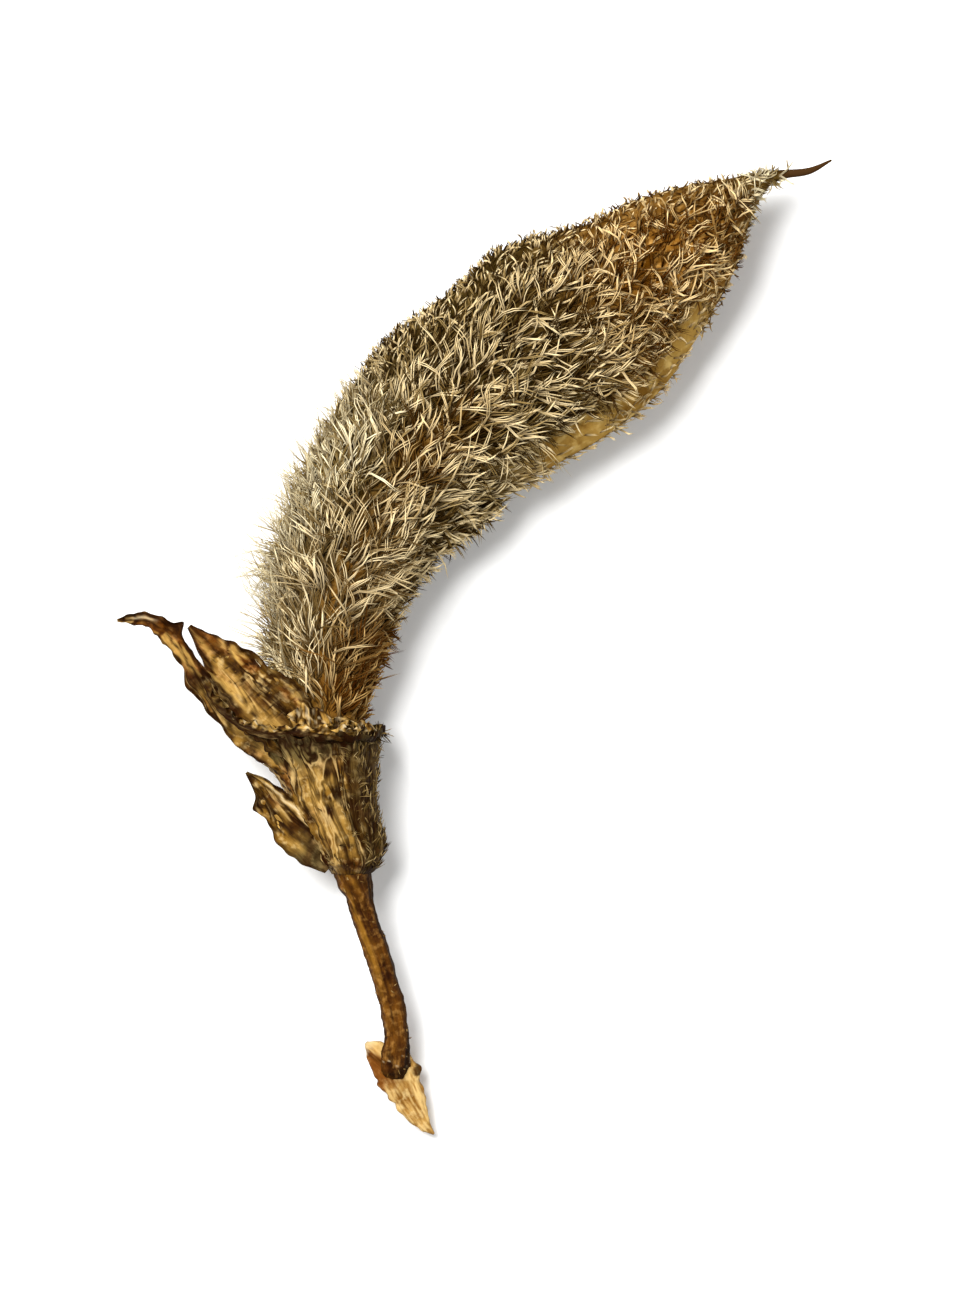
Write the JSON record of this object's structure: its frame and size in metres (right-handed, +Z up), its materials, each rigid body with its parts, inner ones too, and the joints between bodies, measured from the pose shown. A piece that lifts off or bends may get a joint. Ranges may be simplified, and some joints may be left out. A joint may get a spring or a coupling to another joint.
{
  "type": "garden lupin pod",
  "caption": "Ripe hairy garden lupin pod as picked, lying on its broad side, with its dry calyx, bracteole, curved stalk and torn heel of bark.",
  "frame": {"origin": "the middle of the small flat spot on which the pod rests", "axes": "+Z up, +Y from the torn heel towards the pod's tip, +X to the side that the pod curves to"},
  "size_m": [0.0268, 0.0366, 0.0049],
  "materials": {
    "pod": "dry skin under dense straw-coloured hair",
    "calyx": "dry, papery, wrinkled",
    "bracteole": "dry, papery, folded",
    "pedicel": "dry stalk with fine lengthwise ribs",
    "heel": "pale torn fibrous wood"
  },
  "bodies": {
    "root": {"pod": "pod", "calyx": "calyx", "bracteole": "bracteole", "pedicel": "pedicel", "heel": "heel"}
  },
  "joints": []
}
